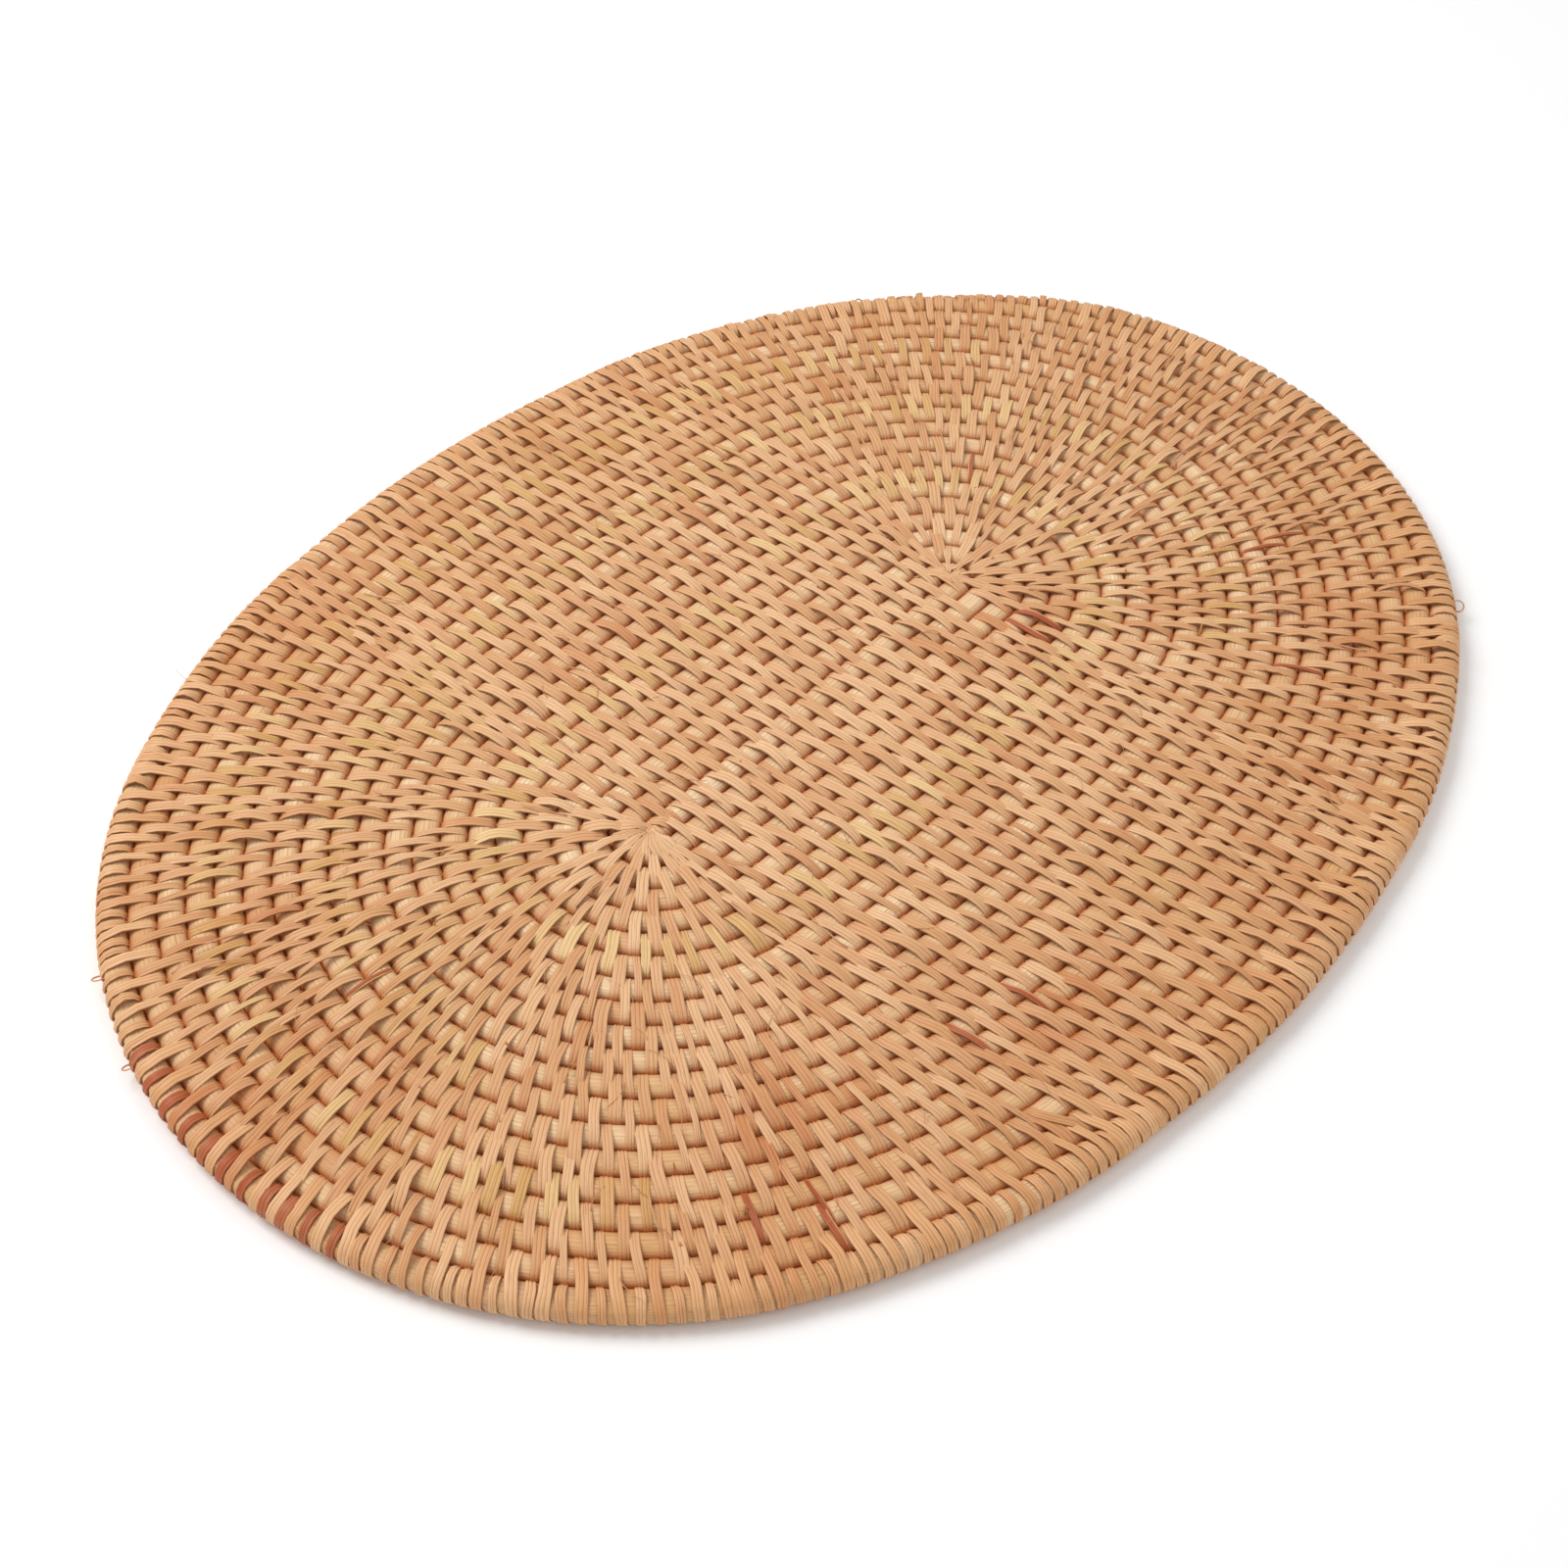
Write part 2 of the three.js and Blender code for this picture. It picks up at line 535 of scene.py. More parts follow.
@dataclass(frozen=True)
class StripSection:
    """The section of a split strip: strands side by side over a flat back.

    Each strand's crest rises and falls, the grooves between strands drift sideways and some open
    into splits. What ends in every is the length over which that changes.
    """

    strands: int = 3
    thickness: float = 0.42 * MM
    crest: float = 0.14 * MM
    crown: float = 0.04 * MM
    split: float = 0.22 * MM
    crest_change: float = 0.4
    crest_every: float = 9 * MM
    drift: float = 0.13
    drift_every: float = 14 * MM
    split_every: float = 11 * MM

    @property
    def lines(self) -> int:
        """Lines of corners over the top of the strip."""
        return 2 * self.strands + 1

    @property
    def creases(self) -> tuple[int, ...]:
        """Lines that are sharp edges: the strip's own edges and the grooves between strands."""
        return tuple(range(0, self.lines, 2)) + (self.lines, self.lines + 1, self.lines + 2)

    def outline(self, run: np.ndarray, rng: random.Random) -> tuple[np.ndarray, np.ndarray]:
        """The section at each place along a strip, from its left edge over the top and back.

        Args:
            run: how far along the strip each place is.
            rng: the source of random numbers.

        Returns:
            Shares of the half width and heights, along by round the section.
        """
        steps = np.linspace(-1, 1, self.lines)
        shares = np.tile(steps, (len(run), 1))
        rises = np.tile(self.crown * (1 - steps * steps), (len(run), 1))
        for line in range(1, self.lines - 1):
            if line % 2:
                change = self.crest_change * smooth_noise(rng, run, self.crest_every)
                rises[:, line] += self.crest * (1 + change)
            else:
                shares[:, line] += self.drift * smooth_noise(rng, run, self.drift_every)
                opened = np.maximum(smooth_noise(rng, run, self.split_every), 0)
                rises[:, line] -= self.split * opened
        for line in range(1, self.lines - 1, 2):
            shares[:, line] = (shares[:, line - 1] + shares[:, line + 1]) / 2
        back = np.full((len(run), 1), -self.thickness)
        edge = np.ones((len(run), 1))
        return (np.hstack([shares, edge, -edge, -edge]),
                np.hstack([rises, back, back, rises[:, :1]]))

    def rounds(self) -> np.ndarray:
        """The share round the section of each line: 0 to 1 over the top, more underneath."""
        side, back = 0.15, 1.0
        return np.append(np.linspace(0, 1, self.lines), [1 + side, 1 + side + back, 1 + 2 * side + back])


@dataclass(frozen=True)
class StripWay:
    """The way of a strip round the coil's rows.

    Skin is how far it stands off the cane, arch how much more it does over the gap between two
    rows, and rim stand how much more on the outside of the rim.
    """

    coil: Coil
    skin: float = 0.26 * MM
    arch: float = 0.34 * MM
    side_room: float = -0.05 * MM
    narrowest: float = 0.45
    crowded_rows: float = 3
    cane_half_height: float = 3.0 * MM
    rim_stand: float = 0.4 * MM

    # Round two rows: angle of the way out from a row's middle, share of the way from the row
    # inside to the stitch's own row, and width.
    OVER_TWO = (
        (180, 0.0, 0.84), (150, 0.0, 0.96), (120, 0.0, 1.0), (90, 0.0, 0.98), (90, 0.33, 0.95),
        (90, 0.67, 0.95), (90, 1.0, 0.97), (60, 1.0, 1.0), (30, 1.0, 0.98), (0, 1.0, 0.9),
    )
    UNDER_TWO = (
        (-45, 1.0, 0.88), (-90, 1.0, 0.85), (-90, 0.5, 0.8), (-90, 0.0, 0.75), (-135, 0.0, 0.6),
    )

    # Round one row: the same.
    OVER_ONE = ((180, 1.0, 0.75), (150, 1.0, 0.85), (120, 1.0, 0.95), (90, 1.0, 1.0),
                (60, 1.0, 1.0), (30, 1.0, 1.0), (0, 1.0, 1.0))
    UNDER_ONE = ((-45, 1.0, 0.95), (-90, 1.0, 0.9), (-135, 1.0, 0.75))

    # How far a strip reaches either side of a row's middle, in rows.
    SWING = 0.45
    VALUES = ("phase", "angle", "share", "lift", "width", "tone", "warm", "green", "skin")

    def stations(self, stitches: list[Stitch]) -> dict[str, np.ndarray]:
        """The places that a strip passes, in order.

        Args:
            stitches: in order along the coil, the last one only to say where the strip is going.

        Returns:
            The phase, angle, share, lift, width and colour shares of each place.
        """
        found: dict[str, list[float]] = {key: [] for key in self.VALUES}

        def place(stitch: Stitch, phase: float, angle: float, share: float, lift: float,
                  width: float) -> None:
            values = (phase, math.radians(angle), share, lift, width * stitch.width, stitch.tone,
                      stitch.warm, stitch.green, stitch.skin)
            for key, value in zip(found, values):
                found[key].append(value)

        for here, after in zip(stitches, stitches[1:]):
            two = here.kind is StitchKind.TWO_ROWS
            span = float(self.coil.span(np.array(here.phase)))
            inner = self.inner_swing(here)
            for angle, share, width in self.OVER_TWO if two else self.OVER_ONE:
                across = self.swing(share, angle)
                gone = (across - inner) / (self.SWING - inner)
                slide = here.lean * across + here.bow * math.sin(math.pi * gone)
                arch = self.arch * (1 - (2 * share - 1) ** 2) if two else 0.0
                facing_up = max(math.sin(math.radians(angle)), 0)
                lift = (here.lift * math.sin(math.pi * gone) + arch) * facing_up
                place(here, here.phase + slide / span, angle, share, lift, width)
            leave = here.phase + self.SWING * here.lean / span
            arrive = after.phase + self.inner_swing(after) * after.lean / span
            for angle, share, width in self.UNDER_TWO if two else self.UNDER_ONE:
                gone = (self.SWING - self.swing(share, angle)) / (self.SWING - inner)
                place(here, leave + (arrive - leave) * gone, angle, share, 0.0, width)
        return {key: np.array(values) for key, values in found.items()}

    def swing(self, share: float, angle: float) -> float:
        """How far across the rows a place lies, in rows, from the middle of its own row."""
        return share - 1 + self.SWING * math.cos(math.radians(angle))

    def inner_swing(self, stitch: Stitch) -> float:
        """Where a stitch's inner end lies, in rows."""
        return -self.SWING - (stitch.kind is StitchKind.TWO_ROWS)

    def squeeze(self, at: dict[str, np.ndarray]) -> np.ndarray:
        """How much narrower a strip is pulled where many meet in the eye of the coil."""
        crowded = self.crowded_rows * self.coil.pitch
        room = self.narrowest + self.coil.inner_room(at["phase"]) / crowded
        return np.where(at["share"] < 0.5, np.clip(room, self.narrowest, 1), 1.0)

    def line(self, at: dict[str, np.ndarray]) -> tuple[np.ndarray, np.ndarray]:
        """The line of a strip and the way that its top faces, at each of its places."""
        coil, phase, share, angle = self.coil, at["phase"], at["share"], at["angle"]
        own = coil.plan(phase)
        inside = coil.plan(phase, -coil.pitch)
        out = coil.outward(phase)
        full = cane_half_width(coil, np.linalg.norm(own - inside, axis=1), self.side_room)
        thick = np.where(share > 0.5, coil.thickness_share(phase), 1.0)
        room = np.maximum(coil.inner_room(phase) - coil.eye, 0)
        reach = full * thick + self.skin
        reach = np.where(share < 0.5, np.minimum(reach, room), reach)
        own = own - out * (full * (1 - thick))[:, None]
        sideways, upwards = squared(angle, STRIP_SQUARENESS)
        outermost = coil.on_rim(phase) & (share > 0.5)
        stand = np.where(outermost, self.rim_stand * thick, 0.0)
        reach = reach + stand * np.maximum(sideways, 0)
        flat = inside + (own - inside) * share[:, None] + out * (reach * sideways)[:, None]
        tall = self.cane_half_height * thick + self.skin + at["lift"]
        tall = tall + stand * np.maximum(upwards, 0)
        up = coil.height / 2 + tall * upwards
        slope = STRIP_SQUARENESS - 1
        level, steep = (np.sign(value) * np.abs(value) ** slope for value in (sideways, upwards))
        return np.column_stack([flat, up]), unit(np.column_stack([out * level[:, None], steep]))


def cane_half_width(coil: Coil, rows_apart: np.ndarray, room: float) -> np.ndarray:
    """How wide the cane is from its middle, where rows lie a given distance apart."""
    closest, furthest = 0.9 * coil.pitch, 1.2 * coil.pitch
    return np.clip(rows_apart, closest, furthest) / 2 - room


@dataclass(frozen=True)
class LooseFibre:
    """A kind of fibre that comes away from a strip, with the least and most of each measure.

    Sweep is how far it curves aside for its length, climb how much of the strip's slope it keeps
    and rests at the level that it never sinks below, as a share of the pad's height. Tone is how
    pale it is, and a kind with no tone takes any.
    """

    length: tuple[float, float]
    sweep: tuple[float, float]
    radius: tuple[float, float]
    tone: float | None = None
    foot_aside: float = 1.0 * MM
    foot_lift: float = 0.15 * MM
    arch: tuple[float, float] = (0.3 * MM, 1.0 * MM)
    arch_turn: float = 0.8 * math.pi
    climb: float = 0.3
    rests_at: float = 0.97
    palest: float = 0.6


WHISKER = LooseFibre(length=(2.5 * MM, 8 * MM), sweep=(0.2, 0.9), radius=(0.08 * MM, 0.15 * MM))
SPLINTER = LooseFibre(length=(9 * MM, 14 * MM), sweep=(0.05, 0.2), radius=(0.25 * MM, 0.4 * MM),
                      tone=0.96)


@dataclass(frozen=True)
class RimLoop:
    """A small open loop of loose fibre that stands out from the rim.

    Opening is the angle from its crown to each end, and level its height up the rim.
    """

    radius: tuple[float, float] = (1.3 * MM, 1.8 * MM)
    thickness: float = 0.32 * MM
    level: float = 0.6
    opening: float = 2.7
    reach: float = 0.9
    squash: float = 0.8
    tilt: float = 0.5
    tone: float = 0.12


@dataclass(frozen=True)
class TuckedEnd:
    """The first end of a strip, pushed up between the rows from below."""

    reach: tuple[float, float] = (4.4 * MM, 5.4 * MM)
    tilt: float = 0.6
    radius: float = 0.55 * MM
    tone: float = 0.0


# Loose fibres grow where a strip's top faces at least this much upwards. They are a little
# redder than the strip, end half as thick and show this many times less grain round them.
FACING_UP = 0.8
FIBRE_WARM = 0.4
FIBRE_END = 0.5
FIBRE_PLAIN = 7


@dataclass
class BindingStrip:
    """One flat strip of split rattan, from where it was tucked in to where it ran out.

    Loops are the phases where a loose loop stands out, and splinters is the share of its loose
    fibres that are thick ones. Skin edges are how far across its top the red-brown skin may
    begin, where there is any. What ends in every is the length over which a thing changes.
    """

    name: str
    node: str
    slot: str
    stitches: list[Stitch]
    way: StripWay
    section: StripSection
    rng: random.Random
    loose_fibres: int = 9
    splinters: float = 0.15
    loops: tuple[float, ...] = ()
    wobble: float = 0.12 * MM
    wobble_every: float = 5 * MM
    uneven: float = 0.07
    uneven_every: float = 12 * MM
    reddened: float = 0.5
    reddened_every: float = 45 * MM
    tone_range: float = 0.4
    skin_edges: tuple[float, ...] = (-1.0, 0.3, 0.3, 0.6)

    def build(self, finish: bpy.types.Material) -> bpy.types.Object:
        """Makes the strip's piece and hangs it on the frame.

        Args:
            finish: the strip's material.

        Returns:
            The piece.
        """
        at = self.way.stations(self.stitches)
        line, facing = self.way.line(at)
        heading = unit(np.gradient(line, axis=0))
        across = unit(np.cross(heading, facing))
        rise = np.cross(across, heading)
        run = length_along(line)
        line = line + across * (self.wobble * smooth_noise(self.rng, run, self.wobble_every))[:, None]
        half = at["width"] / 2 * (1 + self.uneven * smooth_noise(self.rng, run, self.uneven_every))
        half *= self.way.squeeze(at)
        shares, rises = self.section.outline(run, self.rng)
        points = (line[:, None] + across[:, None] * (half[:, None] * shares)[..., None]
                  + rise[:, None] * rises[..., None])
        rounds = self.section.rounds()
        mesh = SweptMesh(self.name)
        mesh.sweep(points, grain_map(run, rounds), self.colours(at, line, run, rounds),
                   self.section.creases)
        for _ in range(self.loose_fibres):
            self.add_loose_fibre(mesh, line, heading, across, rise)
        for phase in self.loops:
            self.add_loop(mesh, phase, RimLoop())
        self.add_tucked_end(mesh, line[0], TuckedEnd())
        piece = mesh.finish(finish)
        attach(piece, "root")
        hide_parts(self.node)
        return piece

    def colours(self, at: dict[str, np.ndarray], line: np.ndarray, run: np.ndarray,
                rounds: np.ndarray) -> dict[Mark, np.ndarray]:
        """The colour shares over the strip."""
        warm, green, _ = patch_marks(line)
        redder = np.maximum(smooth_noise(self.rng, run, self.reddened_every), 0) ** 2
        warm = warm * at["warm"] + self.reddened * redder
        green = green * at["green"]
        bare = self.skin_edges[0] if self.slot == "rim_strip" else self.rng.choice(self.skin_edges)
        skin = at["skin"][:, None] * (rounds > bare)
        tone = 0.5 + self.tone_range * at["tone"] + paleness(line)
        level = np.where(at["share"] > 0.5, np.cos(at["angle"]), 0.0)
        shelter = self.way.coil.shelter(at["phase"], level)
        return {Mark.TONE: tone[:, None], Mark.WARM: warm[:, None], Mark.GREEN: green[:, None],
                Mark.SKIN: skin, Mark.SHELTER: shelter[:, None]}

    def add_loose_fibre(self, mesh: SweptMesh, line: np.ndarray, heading: np.ndarray,
                        across: np.ndarray, rise: np.ndarray) -> None:
        """Adds a fibre that has come away from the strip's edge on its upper side.

        Args:
            mesh: the strip's mesh.
            line: the strip's line.
            heading: the way that the strip runs at each point of its line.
            across: the way to its side there.
            rise: the way that its top faces there.
        """
        rng = self.rng
        foot = int(rng.choice(list(np.flatnonzero(rise[:, 2] > FACING_UP))))
        side = rng.choice((-1, 1))
        kind = SPLINTER if rng.random() < self.splinters else WHISKER
        length = rng.uniform(*kind.length)
        sweep = rng.uniform(*kind.sweep)
        share = np.linspace(0, 1, 8)
        along = heading[foot] * rng.choice((-1, 1)) * (1, 1, kind.climb)
        aside = side * (kind.foot_aside + sweep * length * share ** 2)
        lift = kind.foot_lift + rng.uniform(*kind.arch) * np.sin(share * kind.arch_turn)
        path = (line[foot] + np.outer(share * length, along) + np.outer(aside, across[foot])
                + np.outer(lift, rise[foot]))
        path[:, 2] = np.maximum(path[:, 2], self.way.coil.height * kind.rests_at)
        radius = rng.uniform(*kind.radius)
        tone = rng.random() * kind.palest if kind.tone is None else kind.tone
        self.add_fibre(mesh, path, radius, tone)

    def add_loop(self, mesh: SweptMesh, phase: float, loop: RimLoop) -> None:
        """Adds a small loop of loose fibre to the rim at a phase."""
        coil = self.way.coil
        out = np.append(coil.outward(np.array(phase)), 0)
        middle = np.append(coil.plan(np.array(phase)), coil.height * loop.level)
        edge = middle + out * coil.row_width / 2
        side = np.cross((0, 0, 1), out)
        turn = np.linspace(-loop.opening, loop.opening, 14)
        radius = self.rng.uniform(*loop.radius)
        path = (edge + np.outer(radius * (loop.reach + np.cos(turn)), out)
                + np.outer(radius * np.sin(turn), loop.squash * side + np.array((0, 0, loop.tilt))))
        self.add_fibre(mesh, path, loop.thickness, loop.tone)

    def add_tucked_end(self, mesh: SweptMesh, foot: np.ndarray, end: TuckedEnd) -> None:
        """Adds the strip's first end, which stands up a little from its foot between the rows."""
        rng = self.rng
        tilt = unit(np.array((rng.uniform(-end.tilt, end.tilt), rng.uniform(-end.tilt, end.tilt), 1.0)))
        path = foot + np.outer(np.linspace(0, rng.uniform(*end.reach), 5), tilt)
        self.add_fibre(mesh, path, end.radius, end.tone)

    def add_fibre(self, mesh: SweptMesh, path: np.ndarray, radius: float, tone: float) -> None:
        """Adds a thin round fibre along a path, finer towards its end.

        Args:
            mesh: the strip's mesh.
            path: points along the fibre.
            radius: how thick it starts.
            tone: how pale it is.
        """
        heading = unit(np.gradient(path, axis=0))
        side = unit(np.cross(heading, (0.1, 0.2, 1.0)))
        top = np.cross(side, heading)
        turn = np.linspace(0, 2 * np.pi, 5)
        fine = radius * np.linspace(1, FIBRE_END, len(path))[:, None, None]
        points = (path[:, None] + fine * (side[:, None] * np.cos(turn)[:, None]
                                          + top[:, None] * np.sin(turn)[:, None]))
        marks = {mark: np.array(0.0) for mark in Mark}
        marks |= {Mark.TONE: np.array(tone), Mark.WARM: np.array(FIBRE_WARM)}
        mesh.sweep(points, grain_map(length_along(path), turn / FIBRE_PLAIN), marks)


@dataclass
class CoreCane:
    """One length of the round cane that the pad is wound from.

    Sides and step set how fine its mesh is. What ends in every is the length over which a thing
    changes along it.
    """

    name: str
    node: str
    first: float
    last: float
    way: StripWay
    rng: random.Random
    sides: int = 16
    step: float = 2.6 * MM
    uneven: float = 0.02
    uneven_every: float = 25 * MM
    patchy: float = 0.7
    patchy_every: float = 14 * MM
    reddened: float = 0.7
    reddened_every: float = 70 * MM
    tone_range: float = 0.4
    tone_every: float = 30 * MM
    green_share: float = 0.5

    def build(self, finish: bpy.types.Material) -> bpy.types.Object:
        """Makes the cane's piece and hangs it on the frame.

        Args:
            finish: the cane's material.

        Returns:
            The piece.
        """
        coil = self.way.coil
        phases = [self.first]
        while phases[-1] < self.last:
            step = self.step / float(coil.span(np.array(phases[-1])))
            phases.append(min(phases[-1] + step, self.last))
        phase = np.array(phases)
        own = coil.plan(phase)
        out = coil.outward(phase)
        apart = np.linalg.norm(own - coil.plan(phase, -coil.pitch), axis=1)
        wide = cane_half_width(coil, apart, self.way.side_room)
        run = length_along(own)
        taper = coil.thickness_share(phase)
        size = taper * (1 + self.uneven * smooth_noise(self.rng, run, self.uneven_every))
        angles = np.linspace(0, 2 * np.pi, self.sides + 1)
        level, steep = squared(angles, CANE_SQUARENESS)
        sideways = (wide * size)[:, None] * level - (wide * (1 - taper))[:, None]
        points = np.empty((len(phase), len(angles), 3))
        points[..., :2] = own[:, None] + out[:, None] * sideways[..., None]
        points[..., 2] = coil.height / 2 + (self.way.cane_half_height * size)[:, None] * steep
        mesh = SweptMesh(self.name)
        mesh.sweep(points, grain_map(run, angles / (2 * np.pi)),
                   self.colours(own, run, coil.shelter(phase[:, None], level)))
        piece = mesh.finish(finish)
        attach(piece, "root")
        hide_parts(self.node)
        return piece

    def colours(self, own: np.ndarray, run: np.ndarray,
                shelter: np.ndarray) -> dict[Mark, np.ndarray]:
        """The colour shares over the cane."""
        warm, green, _ = patch_marks(own)
        warm = warm * self.patchy * (1 + smooth_noise(self.rng, run, self.patchy_every))
        redder = np.maximum(smooth_noise(self.rng, run, self.reddened_every), 0) ** 2
        warm = warm + self.reddened * redder
        tone = 0.5 + self.tone_range * smooth_noise(self.rng, run, self.tone_every) + paleness(own)
        return {Mark.TONE: tone[:, None], Mark.WARM: warm[:, None],
                Mark.GREEN: self.green_share * green[:, None],
                Mark.SKIN: np.array(0.0), Mark.SHELTER: shelter}


# ---------------------------------------------------------------------------------------------
# Finishes
# ---------------------------------------------------------------------------------------------


def srgb(red: int, green: int, blue: int) -> tuple[float, float, float, float]:
    """A colour as shaders hold it, from its usual three numbers."""
    def linear(value: int) -> float:
        share = value / 255
        return share / 12.92 if share <= 0.04045 else ((share + 0.055) / 1.055) ** 2.4
    return linear(red), linear(green), linear(blue), 1.0


class Nodes:
    """A short way to place and join shader nodes."""

    def __init__(self, tree: bpy.types.NodeTree) -> None:
        self.tree = tree

    def add(self, kind: str, inputs: dict | None = None, **settings: object) -> bpy.types.Node:
        """Places a node.

        Args:
            kind: the node's type.
            inputs: values or sockets for its inputs, by name or number.
            settings: its other settings.

        Returns:
            The node.
        """
        node = self.tree.nodes.new(kind)
        for key, value in settings.items():
            setattr(node, key, value)
        for key, value in (inputs or {}).items():
            if isinstance(value, bpy.types.NodeSocket):
                self.tree.links.new(value, node.inputs[key])
            else:
                node.inputs[key].default_value = value
        return node

    def math(self, operation: str, *values: object) -> bpy.types.NodeSocket:
        """A sum of two or three values or sockets."""
        return self.add("ShaderNodeMath", dict(enumerate(values)), operation=operation).outputs[0]

    def mix(self, factor: object, first: object, second: object) -> bpy.types.NodeSocket:
        """A mix of two colours."""
        node = self.add("ShaderNodeMix", {0: factor, 6: first, 7: second}, data_type="RGBA")
        return node.outputs[2]

    def ramp(self, value: bpy.types.NodeSocket, low: float, high: float) -> bpy.types.NodeSocket:
        """A value stretched so that low becomes 0 and high 1."""
        return self.add("ShaderNodeMapRange", {0: value, 1: low, 2: high}).outputs[0]


# How far from the middle of the pad's height the valleys between rows begin and are deepest, for the
# shade painted there.
VALLEY_TOP = 3.0 * MM
VALLEY_FLOOR = 1.6 * MM


def fibre_group() -> bpy.types.NodeTree:
    """The grain of rattan and where shade is painted: fine fibres, darker pores, grooves, which on
    strips are partly painted shade, and the valleys between the rows, where shade is painted.

    Returns:
        The group. Valley rises from 0 to 1 as a place comes nearer to the middle of the pad's
        height.
    """
    group = bpy.data.node_groups.new("rattan_fibre", "ShaderNodeTree")
    face = group.interface
    for name in ("Along Scale", "Across Scale", "Strands", "Middle"):
        face.new_socket(name, in_out="INPUT", socket_type="NodeSocketFloat")
    for name in ("Fibre", "Pores", "Groove", "Valley", "Height"):
        face.new_socket(name, in_out="OUTPUT", socket_type="NodeSocketFloat")
    n = Nodes(group)
    given = n.add("NodeGroupInput")
    result = n.add("NodeGroupOutput")
    uv = n.add("ShaderNodeUVMap", uv_map=UV_LAYER).outputs[0]
    split = n.add("ShaderNodeSeparateXYZ", {0: uv})
    along = n.math("MULTIPLY", split.outputs[0], given.outputs["Along Scale"])
    across = n.math("MULTIPLY", split.outputs[1], given.outputs["Across Scale"])
    place = n.add("ShaderNodeCombineXYZ", {0: along, 1: across}).outputs[0]
    fibre = n.add("ShaderNodeTexNoise", {"Vector": place, "Scale": 1.0, "Detail": 3.0, "Roughness": 0.6})
    far = n.add("ShaderNodeVectorMath", {0: place, 1: (7.3, 41.0, 3.0)}, operation="ADD").outputs[0]
    pores = n.add("ShaderNodeTexNoise", {"Vector": far, "Scale": 2.2, "Detail": 2.0, "Roughness": 0.5})
    strand = n.math("FRACT", n.math("MULTIPLY", split.outputs[1], given.outputs["Strands"]))
    side = n.math("ABSOLUTE", n.math("SUBTRACT", strand, 0.5))
    n.tree.links.new(n.ramp(fibre.outputs[0], 0.3, 0.7), result.inputs["Fibre"])
    n.tree.links.new(n.ramp(pores.outputs[0], 0.6, 0.72), result.inputs["Pores"])
    # On the strips the grooves between strands are partly painted shade and partly real dark gaps, and
    # the side walls and underside (round share above 1) are painted shade; on the cane the fine grooves
    # are grain lines.
    groove = n.ramp(side, 0.36, 0.5)
    wall = n.math("GREATER_THAN", split.outputs[1], 1.01)
    n.tree.links.new(n.math("MAXIMUM", groove, wall), result.inputs["Groove"])
    spot = n.add("ShaderNodeTexCoord").outputs["Object"]
    level = n.add("ShaderNodeSeparateXYZ", {0: spot}).outputs[2]
    away = n.math("ABSOLUTE", n.math("SUBTRACT", level, given.outputs["Middle"]))
    n.tree.links.new(n.ramp(away, VALLEY_TOP, VALLEY_FLOOR), result.inputs["Valley"])
    n.tree.links.new(fibre.outputs[0], result.inputs["Height"])
    return group


